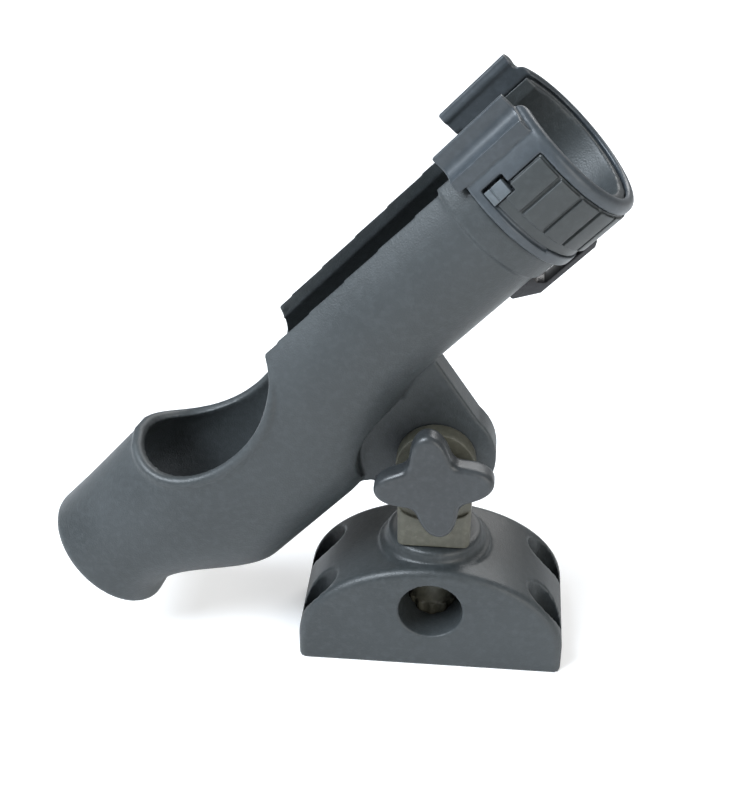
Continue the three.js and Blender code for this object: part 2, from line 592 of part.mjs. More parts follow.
// ---- Catch finger under the ring ----
function ringCatch() {
  const inner = -(RING_RADIUS + GRIP_STEP + GAP);
  const outer = inner - CATCH_THICKNESS;
  const rootEnd = CATCH_START + CATCH_ROOT_LENGTH;
  const tip = CATCH_START + CATCH_LENGTH;
  const outline = [
    [CATCH_START, -TUBE_RADIUS + 3], [CATCH_START, -TUBE_RADIUS - 1.5], [CATCH_START + CATCH_SLOPE, outer],
    [tip - CATCH_THICKNESS, outer], [tip, outer + 1.2], [tip, inner], [rootEnd + 2, inner],
    [rootEnd, inner + 2], [rootEnd, -TUBE_RADIUS + 3],
  ].map(([x, z]) => new THREE.Vector2(x, z + TUBE_RISE));
  const blade = plateY(new THREE.Shape(outline), -CATCH_HALF_WIDTH, CATCH_HALF_WIDTH);
  const seat = turnedX([
    [CATCH_START - 5, 0], [CATCH_START - 5, TUBE_RADIUS + GAP], [rootEnd + 5, TUBE_RADIUS + GAP],
    [rootEnd + 5, 0],
  ]).translate([0, 0, TUBE_RISE]);
  return blade.subtract(seat);
}

// ---- Clamp: bolt, washers, insert and knob, all on the pivot's axis (Y) ----
function pivotBolt() {
  const headFrom = WEB_HALF + GAP + WASHER_THICKNESS + GAP;
  const shank = discY(BOLT_RADIUS, KNOB_BACK - BOLT_ENGAGEMENT, headFrom + 1, 32);
  return shank.add(discY(BOLT_HEAD_RADIUS, headFrom, headFrom + BOLT_HEAD_HEIGHT, 6));
}

function washer(y0, y1, outer, inner) {
  return turnedY([[y0, inner], [y0, outer], [y1, outer], [y1, inner], [y0, inner]]);
}

function knobInsert() {
  const [back, front] = [KNOB_BACK - GAP, KNOB_BACK - GAP - INSERT_LENGTH];
  const hexagon = discY(INSERT_RADIUS, front, back, 6);
  return hexagon.subtract(discY(BOLT_RADIUS + THREAD_GAP, front - 1, back + 1, 32));
}

function knob() {
  const outline = (inset) => {
    const points = [];
    for (let k = 0; k < KNOB_STEPS; k++) {
      const a = (k / KNOB_STEPS) * 2 * Math.PI;
      const lobe = (0.5 + 0.5 * Math.cos(KNOB_LOBES * (a - KNOB_PHASE * RAD))) ** KNOB_LOBE_SHARPNESS;
      const r = mix(KNOB_WAIST, KNOB_REACH, lobe) - inset;
      points.push(new THREE.Vector2(r * Math.cos(a), r * Math.sin(a)));
    }
    return new THREE.Shape(points);
  };
  const front = KNOB_BACK - KNOB_THICKNESS;
  const layers = [0, 0.45, 1].map((share) => {
    const inset = KNOB_ROUND * (1 - Math.sqrt(1 - share * share));
    const rest = KNOB_ROUND * (1 - share);
    return plateY(outline(inset), front + rest, KNOB_BACK - KNOB_HUB_LENGTH - rest);
  });
  layers.push(discY(KNOB_HUB_RADIUS, front + KNOB_ROUND, KNOB_BACK));
  const pocketEnd = KNOB_BACK - GAP - INSERT_LENGTH - GAP;
  const pocket = discY(INSERT_RADIUS + THREAD_GAP, pocketEnd, KNOB_BACK + 1, 6);
  return union(layers).subtract(pocket);
}

// ---- Assembly ----
const charcoal = { color: 0x3a3f42, roughness: 0.62, metalness: 0 };
const finishes = {
  deck_mount: charcoal,
  stem: { color: 0x4a4a3f, roughness: 0.55, metalness: 0 },
  holder_body: charcoal,
  lock_ring: { color: 0x42474b, roughness: 0.5, metalness: 0 },
  ring_grip: { color: 0x3c4140, roughness: 0.55, metalness: 0 },
  ring_detent: { color: 0x4d5358, roughness: 0.5, metalness: 0 },
  ring_catch: { color: 0x2e2d30, roughness: 0.4, metalness: 0 },
  knob: { color: 0x3d4244, roughness: 0.58, metalness: 0 },
  knob_insert: { color: 0xb08d4c, roughness: 0.35, metalness: 1 },
  pivot_bolt: { color: 0xb9bcbf, roughness: 0.3, metalness: 1 },
  bolt_washer: { color: 0xb0b3b6, roughness: 0.35, metalness: 1 },
  thrust_washer: { color: 0xb0b3b6, roughness: 0.35, metalness: 1 },
  wave_washer: { color: 0x9da1a5, roughness: 0.35, metalness: 1 },
};

function node(name, made) {
  const mesh = new THREE.Mesh(geometryOf(made), new THREE.MeshStandardMaterial(finishes[name]));
  mesh.name = name;
  return mesh;
}

const postGroup = new THREE.Group();
postGroup.position.set(0, 0, PIVOT_HEIGHT);
postGroup.add(node("stem", stem()));

const tubeGroup = new THREE.Group();
tubeGroup.rotation.y = -TUBE_PITCH * RAD;
tubeGroup.add(node("holder_body", holderBody()));
tubeGroup.add(node("lock_ring", lockRing()));
tubeGroup.add(node("ring_grip", ringGrip()));
tubeGroup.add(node("ring_detent", ringDetent()));
tubeGroup.add(node("ring_catch", ringCatch()));
postGroup.add(tubeGroup);

const flatWasher = (y) => washer(y, y + WASHER_THICKNESS, WASHER_RADIUS, BOLT_RADIUS + GAP);
const waveFrom = EAR_FAR_FACE - TOOTH_RECESS + GAP;
postGroup.add(node("pivot_bolt", pivotBolt()));
postGroup.add(node("bolt_washer", flatWasher(WEB_HALF + GAP)));
postGroup.add(node("thrust_washer", flatWasher(EAR_NEAR_FACE - GAP - WASHER_THICKNESS)));
postGroup.add(node("wave_washer", washer(waveFrom, -WEB_HALF - GAP, WAVE_OUTER, WAVE_INNER)));
postGroup.add(node("knob_insert", knobInsert()));
postGroup.add(node("knob", knob()));

const rodHolder = new THREE.Group();
rodHolder.add(node("deck_mount", deckMount()));
rodHolder.add(postGroup);

export default rodHolder;
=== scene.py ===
"""A rod holder's looks: a slotted tube and lock ring on a tilting post, standing in its deck mount."""
import json
import math

import bmesh
import bpy
import numpy as np
from mathutils import Matrix, Vector


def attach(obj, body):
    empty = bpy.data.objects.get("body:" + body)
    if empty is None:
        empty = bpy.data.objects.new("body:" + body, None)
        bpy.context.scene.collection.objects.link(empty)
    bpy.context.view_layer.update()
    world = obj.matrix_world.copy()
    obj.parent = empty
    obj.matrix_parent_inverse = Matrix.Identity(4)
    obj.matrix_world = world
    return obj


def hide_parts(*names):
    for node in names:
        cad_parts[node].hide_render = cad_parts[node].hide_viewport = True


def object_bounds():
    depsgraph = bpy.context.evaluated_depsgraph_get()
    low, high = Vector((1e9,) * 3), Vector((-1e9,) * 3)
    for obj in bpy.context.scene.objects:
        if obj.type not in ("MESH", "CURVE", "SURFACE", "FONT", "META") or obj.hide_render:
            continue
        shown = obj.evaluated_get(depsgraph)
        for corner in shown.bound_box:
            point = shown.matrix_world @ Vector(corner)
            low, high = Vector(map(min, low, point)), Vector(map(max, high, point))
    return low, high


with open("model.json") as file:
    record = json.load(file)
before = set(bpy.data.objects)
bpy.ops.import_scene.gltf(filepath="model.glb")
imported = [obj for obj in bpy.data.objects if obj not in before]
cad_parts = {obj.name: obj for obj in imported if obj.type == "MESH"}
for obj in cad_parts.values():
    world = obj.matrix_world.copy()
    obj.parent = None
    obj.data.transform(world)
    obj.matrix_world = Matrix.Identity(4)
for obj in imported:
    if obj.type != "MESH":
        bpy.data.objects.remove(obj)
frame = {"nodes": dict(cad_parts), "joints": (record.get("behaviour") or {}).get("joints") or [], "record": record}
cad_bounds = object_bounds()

# ---- The frame: joints give the pivot and the tube's axis. Shapes below are in millimetres ----
MM = 0.001
JOINTS = {joint["name"]: joint for joint in frame["joints"]}
BODY_OF = {
    node: body
    for body, nodes in frame["record"]["behaviour"]["bodies"].items()
    for node in nodes
}
PIVOT = Vector(JOINTS["holder_tilt"]["pos_m"])
TUBE_POINT = Vector(JOINTS["ring_turn"]["pos_m"])
ALONG = Vector(JOINTS["ring_turn"]["axis"]).normalized()
ACROSS = Vector((0, 1, 0))
UPWARD = ALONG.cross(ACROSS)
TUBE_RISE = (TUBE_POINT - PIVOT).length / MM

TO_METRES = Matrix.Scale(MM, 4)
TUBE_TURN = Matrix((ALONG, ACROSS, UPWARD)).transposed().to_4x4()
TUBE_PLACE = Matrix.Translation(TUBE_POINT) @ TUBE_TURN @ TO_METRES
PIVOT_PLACE = Matrix.Translation(PIVOT) @ TO_METRES
MOUNT_PLACE = TO_METRES

GAP = 0.3
SLIDE_GAP = 0.4
THREAD_GAP = 0.15
HAIR = 0.01
THROUGH = 60.0  # how far a through cutter reaches to each side of the holder's plane

# Tube and butt
TUBE_RADIUS = 27.8
TUBE_WALL = 3.6
TUBE_FRONT = 120.2
BUTT_END = -132.5
BUTT_RADIUS = 27.0
BUTT_EDGE = 3.0
WAIST_DEPTH = 24.4
BELLY_DEPTH = 47.2
BELLY_REAR = (-119.0, -79.0)
BELLY_FRONT = (-36.0, 24.0)
BELLY_HOLLOW = (-66.0, -42.0)
BAND_RISE = 1.2
BAND_START = 80.5
BAND_END = 90.4
BAND_STEP = 0.4
SKIN_STEP = 1.5
SLOT_HALF_WIDTH = 18.2
SLOT_BOTTOM = 4.0
CUTOUT_CENTRE = -42.5
CUTOUT_HALF_LENGTH = 35.5
CUTOUT_RIM = 27.0
CUTOUT_DEPTH = 25.5
RIM_BEAD = 2.3
RIM_SETBACK = 1.5
RIM_INSET = 1.1
WEB_HALF = 6.2
BRACKET_DROP = TUBE_RISE - TUBE_RADIUS
BRACKET_RADIUS = 22.4
BRACKET_FRONT_TOP = 31.0
BRACKET_HEEL = (-25.7, 9.0)
BRACKET_TAIL = (-34.0, 15.5)
BRACKET_ROOT = 8.0
POCKET_SKIN = 0.2

# Lock ring
RING_REAR = 90.8
RING_FRONT = 122.0
RING_BORE = TUBE_RADIUS + SLIDE_GAP
RING_WALL = 3.4
RING_RADIUS = RING_BORE + RING_WALL
RING_LIP_ROUND = 2.6
RING_LIP_INNER = TUBE_RADIUS - 0.6
RING_LIP_CHAMFER = 0.8
RING_REAR_CHAMFER = 0.6
RING_BAND = 3.4
RING_GROOVE_WIDTH = 1.2
RING_GROOVE_DEPTH = 1.6
RING_GROOVE_END = 121
RING_RIB = (100.0, 102.2)
RING_RIB_HEIGHT = 1.0
RING_GAP_HALF = SLOT_HALF_WIDTH + GAP
FLANGE_REAR = 88.2
FLANGE_RISE = 7.5
FLANGE_PLATE = 2.4
FLANGE_FILLET = 5.5
FLANGE_FILLET_SHARE = 0.8
FLANGE_SINK = 1.2
FLANGE_TRIM = 0.3  # the finer flange stops this far under the full height
FAR_BEAD = 2.6
FAR_BEAD_SETBACK = 0.4
GRIP_START = 69
GRIP_END_PLAY = 0.5
GRIP_REAR = RING_REAR + RING_BAND + RING_GROOVE_WIDTH
GRIP_LIP_LENGTH = 4.8
GRIP_FRONT = RING_FRONT - GRIP_LIP_LENGTH
GRIP_DEPTH = 1.7
GRIP_PROUD = 0.45
GRIP_TOP = RING_RADIUS + GRIP_PROUD
GRIP_GROOVE = 1.15
GRIP_PANELS = 12
GRIP_PANEL_SHARE = 0.86
GRIP_PANEL_REAR = 99.4
GRIP_PANEL_SETBACK = 0.7
GRIP_PANEL_ROOT = 0.4
WINDOW_ANGLE = (62, 75)
WINDOW_LENGTH = 9.0
DETENT_ANGLE = (64.5, 74.5)
DETENT_LENGTH = 7.4
DETENT_SINK = 0.1
DETENT_NOTCH = (2.4, 3.0)
DETENT_NOTCH_DEPTH = 0.8

# Post and clamp
BLOCK_LENGTH = 35.5
BLOCK_HALF_WIDTH = 14.0
BLOCK_NEAR = 15.6
BLOCK_FAR = 13.2
BLOCK_ROUND = 3.0
EAR_RADIUS = 15.0
EAR_FAR_FACE = -6.6
EAR_NEAR_FACE = -14.0
COLLAR = (11.1, 2.2, 12.3)  # root radius, rib radius and reach over the ribs
COLLAR_LENGTH = 11.2
SHANK_RADIUS = 10.4
SHANK_LENGTH = 6.6
NECK_RADIUS = 9.1
NECK_LENGTH = 14.6
NECK_GROOVE = 0.8
FOOT = (9.5, 1.9, 10.4)
FOOT_LENGTH = 9.8
BAR_OVERLAP = 0.5
TOOTH_RECESS_RADIUS = 13.3
TOOTH_RECESS_FLOOR = -8.84
SPLINES = 12
KNOB_BACK = -16.2
KNOB_THICKNESS = 12.2
KNOB_HUB_LENGTH = 3.2
KNOB_HUB_RADIUS = 9.6
KNOB_REACH = 22.4
KNOB_WAIST = 13.2
KNOB_ROUND = 2.6
KNOB_LOBES = 4
KNOB_PHASE = 8
KNOB_SHARPNESS = 1.15
INSERT_RADIUS = 6.4
INSERT_LENGTH = 9.0
BOLT_RADIUS = 4.0

# Deck mount
MOUNT_WIDTH = 104.0
MOUNT_DEPTH = 50.0
MOUNT_SHOULDER = 10.0
MOUNT_CROWN = 46.0
MOUNT_EDGE = 3.4
MOUNT_FLOOR = 2.5
BOSS_RADIUS = 19.0
BOSS_HEIGHT = 5.0
BOSS_ROUND = 2.5
BOSS_FILLET = 3.2
BOSS_FOOT_RISE = 2.0
CROSS_BORE_RADIUS = 12.4
CROSS_BORE_HEIGHT = 27.0
SCREW_X = 44.2
SCREW_Y = 14.6
SCREW_POCKET_RADIUS = 7.0
SCREW_HOLE_RADIUS = 2.9
SCREW_SEAT = 7.0

# The remesh size of each moulding, and how many passes soften its edges
SOFTENED = {
    "holder_body": {"voxel": 0.65, "smoothing": 5},
    "lock_ring": {"voxel": 0.4, "smoothing": 4},
    "ring_grip": {"voxel": 0.3, "smoothing": 3},
    "ring_detent": {"voxel": 0.22, "smoothing": 3},
    "stem": {"voxel": 0.4, "smoothing": 3},
    "knob": {"voxel": 0.4, "smoothing": 5},
    "deck_mount": {"voxel": 0.6, "smoothing": 5},
}


# ---- Mesh helpers: each returns a closed mesh object, placed in metres ----
def smoothstep(low, high, x):
    share = min(1.0, max(0.0, (x - low) / (high - low)))
    return share * share * (3 - 2 * share)


def mix(a, b, share):
    return a + (b - a) * share


def quarter_turn(steps=8):
    """Angles from 0 to a quarter turn, for a rounded edge."""
    return [math.pi / 2 * k / steps for k in range(steps + 1)]


def new_object(name, rings, place, around=False):
    """A skin over rings of points; the ends are capped unless the rings close on themselves."""
    mesh = bmesh.new()
    loops = [[mesh.verts.new(place @ Vector(p)) for p in ring] for ring in rings]
    count = len(loops[0])
    pairs = list(zip(loops, loops[1:]))
    if around:
        pairs.append((loops[-1], loops[0]))
    for low, high in pairs:
        for k in range(count):
            after = (k + 1) % count
            mesh.faces.new((low[k], low[after], high[after], high[k]))
    if not around:
        mesh.faces.new(loops[0])
        mesh.faces.new(loops[-1])
    bmesh.ops.remove_doubles(mesh, verts=mesh.verts, dist=1e-8)
    bmesh.ops.recalc_face_normals(mesh, faces=mesh.faces)
    data = bpy.data.meshes.new(name)
    mesh.to_mesh(data)
    mesh.free()
    made = bpy.data.objects.new(name, data)
    bpy.context.scene.collection.objects.link(made)
    return made


def prism(name, outline, low, high, axis, place):
    """An outline given as pairs, extruded along Y (pairs are x, z), Z (x, y) or X (y, z)."""
    lay = {
        "X": lambda p, at: (at, p[0], p[1]),
        "Y": lambda p, at: (p[0], at, p[1]),
        "Z": lambda p, at: (p[0], p[1], at),
    }[axis]
    return new_object(name, [[lay(p, at) for p in outline] for at in (low, high)], place)


def turned(name, profile, axis, place, segments=160, shift=(0, 0, 0)):
    """A closed profile of (place along the axis, radius) turned about the X, Y or Z axis."""
    rings = []
    for k in range(segments):
        turn = 2 * math.pi * k / segments
        c, s = math.cos(turn), math.sin(turn)
        lay = {
            "X": lambda a, r: (a, r * c, r * s),
            "Y": lambda a, r: (r * s, a, r * c),
            "Z": lambda a, r: (r * c, r * s, a),
        }[axis]
        rings.append([tuple(np.add(lay(a, r), shift)) for a, r in profile])
    return new_object(name, rings, place, around=True)


def disc(name, radius, low, high, axis, place, segments=96, centre=(0, 0)):
    steps = [2 * math.pi * k / segments for k in range(segments)]
    outline = [(centre[0] + radius * math.cos(a), centre[1] + radius * math.sin(a)) for a in steps]
    return prism(name, outline, low, high, axis, place)


def block(name, low, high, place):
    outline = [(low[0], low[1]), (high[0], low[1]), (high[0], high[1]), (low[0], high[1])]
    return prism(name, outline, low[2], high[2], "Z", place)


def sector(name, x_range, r_range, angles, place, steps=64):
    """A wedge about the tube's axis; angles are degrees from the top towards the near side."""
    def point(radius, share):
        angle = math.radians(mix(angles[0], angles[1], share))
        return (-radius * math.sin(angle), radius * math.cos(angle))
    shares = [k / steps for k in range(steps + 1)]
    outline = [point(r_range[1], share) for share in shares]
    outline += [point(r_range[0], share) for share in reversed(shares)]
    return prism(name, outline, x_range[0], x_range[1], "X", place)


def swept(name, path, radius, place, sides=20, end_share=0.45, taper=0.12):
    """A round bead along a path of points, thinning towards its two ends."""
    points = [Vector(p) for p in path]
    rings = []
    side = None
    for k, point in enumerate(points):
        share = k / (len(points) - 1)
        thick = radius * mix(end_share, 1, smoothstep(0, taper, min(share, 1 - share)))
        ahead = points[min(k + 1, len(points) - 1)]
        behind = points[max(k - 1, 0)]
        tangent = (ahead - behind).normalized()
        if side is None:
            side = tangent.cross(Vector((0, 0, 1))).normalized()
        side = (side - tangent * side.dot(tangent)).normalized()
        other = tangent.cross(side)
        ring = []
        for step in range(sides):
            angle = 2 * math.pi * step / sides
            ring.append(tuple(point + thick * (math.cos(angle) * side + math.sin(angle) * other)))
        rings.append(ring)
    return new_object(name, rings, place)


def joined_and_cut(base, added=(), cut=(), voxel=None, smoothing=0):
    """Joins and cuts closed meshes, then gives the result the soft edges of a moulding."""
    for operation, others in (("UNION", added), ("DIFFERENCE", cut)):
        for other in others:
            step = base.modifiers.new(operation, "BOOLEAN")
            step.operation = operation
            step.solver = "MANIFOLD"
            step.object = other
    if voxel:
        remesh = base.modifiers.new("moulded", "REMESH")
        remesh.mode = "VOXEL"
        remesh.voxel_size = voxel * MM
        soften = base.modifiers.new("soft_edges", "SMOOTH")
        soften.factor = 0.5
        soften.iterations = smoothing
    evaluated = base.evaluated_get(bpy.context.evaluated_depsgraph_get())
    data = bpy.data.meshes.new_from_object(evaluated)
    base.modifiers.clear()
    old = base.data
    base.data = data
    bpy.data.meshes.remove(old)
    for other in (*added, *cut):
        spare = other.data
        bpy.data.objects.remove(other)
        bpy.data.meshes.remove(spare)
    for face in base.data.polygons:
        face.use_smooth = True
    return base


def stands_for(piece, node, material):
    """Puts a finer piece in the place of a CAD node."""
    piece.name = node + "_moulded"
    piece.data.materials.clear()
    piece.data.materials.append(material)
    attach(piece, BODY_OF[node])
    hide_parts(node)


# ---- Holder body ----
def body_depth(x):
    """How far the outside reaches below the tube's axis: butt, waist, belly and tube in turn."""
    swell = smoothstep(*BELLY_REAR, x)
    fade = smoothstep(*BELLY_FRONT, x)
    rear = mix(BUTT_RADIUS, WAIST_DEPTH, smoothstep(BUTT_END, BELLY_REAR[0], x))
    return mix(mix(rear, BELLY_DEPTH, swell), TUBE_RADIUS, fade)


def body_radius(x):
    return mix(BUTT_RADIUS, TUBE_RADIUS, smoothstep(*BELLY_REAR, x))


def oval(x, half, above, below, count=180):
    """A section across the tube, with its own height above and below the axis."""
    points = []
    for k in range(count):
        angle = 2 * math.pi * k / count
        up = math.cos(angle)
        points.append((x, half * math.sin(angle), up * (above if up > 0 else below)))
    return points


def outer_skin():
    rings = []
    for angle in quarter_turn(12)[:-1]:
        radius = BUTT_RADIUS - BUTT_EDGE * (1 - math.sin(angle))
        rings.append(oval(BUTT_END + BUTT_EDGE * (1 - math.cos(angle)), radius, radius, radius))
    for x in np.arange(BUTT_END + BUTT_EDGE, BELLY_FRONT[1], SKIN_STEP):
        rings.append(oval(x, body_radius(x), body_radius(x), body_depth(x)))
    band = TUBE_RADIUS + BAND_RISE
    steps = (
        (BELLY_FRONT[1], TUBE_RADIUS), (BAND_START, TUBE_RADIUS), (BAND_START + BAND_STEP, band),
        (BAND_END - HAIR, band), (BAND_END, TUBE_RADIUS), (TUBE_FRONT, TUBE_RADIUS),
    )
    rings += [oval(x, r, r, r) for x, r in steps]
    return new_object("holder_body", rings, TUBE_PLACE)


def inner_skin():
    butt_bore = BUTT_RADIUS - TUBE_WALL
    tube_bore = TUBE_RADIUS - TUBE_WALL
    rings = [oval(BUTT_END - 1, butt_bore, butt_bore, butt_bore)]
    for x in np.arange(BUTT_END + BUTT_EDGE, BELLY_FRONT[1], SKIN_STEP):
        radius = body_radius(x) - TUBE_WALL
        hollow = 1 - smoothstep(*BELLY_HOLLOW, x)
        rings.append(oval(x, radius, radius, mix(tube_bore, body_depth(x) - TUBE_WALL, hollow)))
    rings.append(oval(TUBE_FRONT + 1, tube_bore, tube_bore, tube_bore))
    return new_object("bore", rings, TUBE_PLACE)


def bracket_web():
    top = BRACKET_DROP + BRACKET_ROOT
    outline = [(BRACKET_FRONT_TOP, top)]
    for k in range(61):
        angle = -math.pi * k / 60
        outline.append((BRACKET_RADIUS * math.cos(angle), BRACKET_RADIUS * math.sin(angle)))
    outline += [BRACKET_HEEL, BRACKET_TAIL, (BRACKET_TAIL[0], top)]
    lowered = [(x, z - TUBE_RISE) for x, z in outline]
    return prism("web", lowered, -WEB_HALF, WEB_HALF, "Y", TUBE_PLACE)


def cutout_path(side, count=48):
    """The rim of the reel cut-out on one side, from the slot's corner round to the top at the rear."""
    half_length = CUTOUT_HALF_LENGTH + RIM_SETBACK
    depth = CUTOUT_DEPTH + RIM_SETBACK
    radius = TUBE_RADIUS - RIM_INSET
    front = math.asin((math.sqrt(radius**2 - SLOT_HALF_WIDTH**2) - CUTOUT_RIM) / depth)
    back = -math.pi - math.asin(min(1.0, (radius - HAIR - CUTOUT_RIM) / depth))
    path = []
    for k in range(count + 1):
        angle = mix(front, back, k / count)
        z = min(CUTOUT_RIM + depth * math.sin(angle), radius - HAIR)
        y = math.sqrt(max(radius**2 - z**2, 0.0))
        path.append((CUTOUT_CENTRE + half_length * math.cos(angle), side * y, z))
    return path


def holder_body():
    body = outer_skin()
    pocket_radius = BRACKET_DROP - POCKET_SKIN
    pockets = [
        turned("pocket", [(low, 0), (low, pocket_radius), (high, pocket_radius), (high, 0)], "Y",
               TUBE_PLACE, shift=(0, 0, -TUBE_RISE))
        for low, high in ((-THROUGH, -WEB_HALF), (WEB_HALF, THROUGH))
    ]
    joined_and_cut(body, cut=pockets)
    reel_cut = [
        (CUTOUT_CENTRE + CUTOUT_HALF_LENGTH * math.cos(a), CUTOUT_RIM + CUTOUT_DEPTH * math.sin(a))
        for a in (2 * math.pi * k / 120 for k in range(120))
    ]
    retainer_floor = TUBE_RADIUS - RING_RIB_HEIGHT - SLIDE_GAP
    retainer_low, retainer_high = RING_RIB[0] - SLIDE_GAP, RING_RIB[1] + SLIDE_GAP
    retainer = [
        (retainer_low, retainer_floor), (retainer_low, TUBE_RADIUS + 1),
        (retainer_high, TUBE_RADIUS + 1), (retainer_high, retainer_floor),
    ]
    slot = block("slot", (CUTOUT_CENTRE, -SLOT_HALF_WIDTH, SLOT_BOTTOM),
                 (TUBE_FRONT + 2, SLOT_HALF_WIDTH, TUBE_RADIUS + 2), TUBE_PLACE)
    cuts = [
        inner_skin(), slot,
        prism("reel_cut", reel_cut, -THROUGH, THROUGH, "Y", TUBE_PLACE),
        turned("retainer", retainer, "X", TUBE_PLACE),
        disc("bolt_hole", BOLT_RADIUS + THREAD_GAP, -WEB_HALF - 2, WEB_HALF + 2, "Y", TUBE_PLACE,
             centre=(0, -TUBE_RISE)),
    ]
    joined_and_cut(body, added=[bracket_web()], cut=cuts)
    rim = cutout_path(1) + list(reversed(cutout_path(-1)))[1:]
    bead = swept("rim_bead", rim, RIM_BEAD, TUBE_PLACE)
    return joined_and_cut(body, added=[bead], **SOFTENED["holder_body"])


# ---- Lock ring and what it carries ----
def ring_flange(side):
    """The flange along one edge of the ring's gap: a thin plate near, a plate with a bead far."""
    root = math.sqrt((RING_RADIUS - 1) ** 2 - RING_GAP_HALF**2)
    top = root + FLANGE_RISE - FLANGE_TRIM
    inner, outer = RING_GAP_HALF, RING_GAP_HALF + FLANGE_PLATE
    outline = [(inner, root - 3), (inner, top), (outer, top)]
    for angle in quarter_turn():
        reach = FLANGE_FILLET * (1 - math.sin(angle))
        outline.append((outer + FLANGE_FILLET - FLANGE_FILLET * math.cos(angle),
                        root - FLANGE_SINK + reach * FLANGE_FILLET_SHARE))
    outline.append((outer + FLANGE_FILLET, root - 6))
    outline = [(side * y, z) for y, z in outline]
    plate = prism("flange", outline, FLANGE_REAR, RING_FRONT - RING_LIP_ROUND, "X", TUBE_PLACE)
    if side < 0:
        return [plate]
    centre = (outer - FAR_BEAD_SETBACK, top - FAR_BEAD)
    bead = disc("bead", FAR_BEAD, FLANGE_REAR, RING_FRONT - RING_LIP_ROUND, "X", TUBE_PLACE, centre=centre)
    return [plate, bead]


def ring_window(clearance=0.0):
    rear = RING_REAR + RING_BAND
    return sector("window", (rear, rear + WINDOW_LENGTH + clearance), (RING_BORE - 1, RING_RADIUS + 8),
                  WINDOW_ANGLE, TUBE_PLACE)


def lock_ring():
    lip = [
        (RING_FRONT - RING_LIP_ROUND * (1 - math.sin(angle)),
         RING_RADIUS - RING_LIP_ROUND * (1 - math.cos(angle)))
        for angle in quarter_turn(12)
    ]
    lip_back = TUBE_FRONT + SLIDE_GAP
    rib_top = RING_BORE - RING_RIB_HEIGHT - SLIDE_GAP / 2
    profile = [
        (RING_REAR, RING_BORE), (RING_REAR, RING_RADIUS - RING_REAR_CHAMFER),
        (RING_REAR + RING_REAR_CHAMFER, RING_RADIUS), *lip,
        (RING_FRONT, RING_LIP_INNER + RING_LIP_CHAMFER), (RING_FRONT - RING_LIP_CHAMFER, RING_LIP_INNER),
        (lip_back, RING_LIP_INNER), (lip_back, RING_BORE), (RING_RIB[1], RING_BORE),
        (RING_RIB[1], rib_top), (RING_RIB[0], rib_top), (RING_RIB[0], RING_BORE),
    ]
    ring = turned("lock_ring", profile, "X", TUBE_PLACE, segments=220)
    gap = block("gap", (FLANGE_REAR - 2, -RING_GAP_HALF, SLOT_BOTTOM),
                (RING_FRONT + 2, RING_GAP_HALF, RING_RADIUS + 10), TUBE_PLACE)
    joined_and_cut(ring, cut=[gap])
    over_band = TUBE_RADIUS + BAND_RISE + SLIDE_GAP
    bore = [
        (FLANGE_REAR - 1, 0), (FLANGE_REAR - 1, over_band), (RING_REAR, over_band),
        (RING_REAR, RING_BORE), (lip_back, RING_BORE), (lip_back, RING_LIP_INNER),
        (RING_FRONT + 1, RING_LIP_INNER), (RING_FRONT + 1, 0),
    ]
    flanges = ring_flange(-1) + ring_flange(1)
    both_flanges = joined_and_cut(flanges[0], added=flanges[1:], cut=[turned("bore", bore, "X", TUBE_PLACE)])
    above = RING_RADIUS + FLANGE_RISE
    seat_start = GRIP_START - GRIP_END_PLAY
    groove_rear = RING_REAR + RING_BAND
    cuts = [
        sector("seat", (GRIP_REAR - GAP, GRIP_FRONT + GAP), (RING_RADIUS - GRIP_DEPTH, above),
               (seat_start, 360 - seat_start), TUBE_PLACE, steps=160),
        sector("groove", (groove_rear, groove_rear + RING_GROOVE_WIDTH),
               (RING_RADIUS - RING_GROOVE_DEPTH, above), (WINDOW_ANGLE[0], RING_GROOVE_END), TUBE_PLACE),
        ring_window(),
    ]
    return joined_and_cut(ring, added=[both_flanges], cut=cuts, **SOFTENED["lock_ring"])


def ring_grip():
    ends = (GRIP_START, 360 - GRIP_START)
    inner = RING_RADIUS - GRIP_DEPTH + GAP
    skin = GRIP_TOP - GRIP_GROOVE
    grip = sector("ring_grip", (GRIP_REAR, GRIP_FRONT), (inner, skin), ends, TUBE_PLACE, steps=200)
    pitch = (ends[1] - ends[0]) / GRIP_PANELS
    panels = []
    for k in range(GRIP_PANELS):
        start = ends[0] + pitch * (k + (1 - GRIP_PANEL_SHARE) / 2)
        angles = (start, start + pitch * GRIP_PANEL_SHARE)
        panels.append(sector("panel", (GRIP_PANEL_REAR, GRIP_FRONT - GRIP_PANEL_SETBACK),
                             (inner + GRIP_PANEL_ROOT, GRIP_TOP), angles, TUBE_PLACE, steps=16))
    return joined_and_cut(grip, added=panels, cut=[ring_window(GAP)], **SOFTENED["ring_grip"])


def ring_detent():
    rear = RING_REAR + RING_BAND + GAP
    detent = sector("ring_detent", (rear, rear + DETENT_LENGTH), (RING_BORE, RING_RADIUS - DETENT_SINK),
                    DETENT_ANGLE, TUBE_PLACE)
    notch = sector("notch", (rear + DETENT_NOTCH[0], rear + DETENT_NOTCH[1]),
                   (RING_RADIUS - DETENT_NOTCH_DEPTH, RING_RADIUS + 2), DETENT_ANGLE, TUBE_PLACE)
    return joined_and_cut(detent, cut=[notch], **SOFTENED["ring_detent"])


# ---- Post ----
def ribbed(name, root, rib, reach, low, high, place, clearance=0.0):
    """A round bar with ribs along it, or the socket for one."""
    bar = disc(name, root + clearance, low, high, "Z", place)
    ribs = []
    for k in range(SPLINES):
        angle = 2 * math.pi * k / SPLINES
        centre = ((reach - rib) * math.cos(angle), (reach - rib) * math.sin(angle))
        ribs.append(disc("rib", rib + clearance, low, high, "Z", place, segments=32, centre=centre))
    return joined_and_cut(bar, added=ribs)


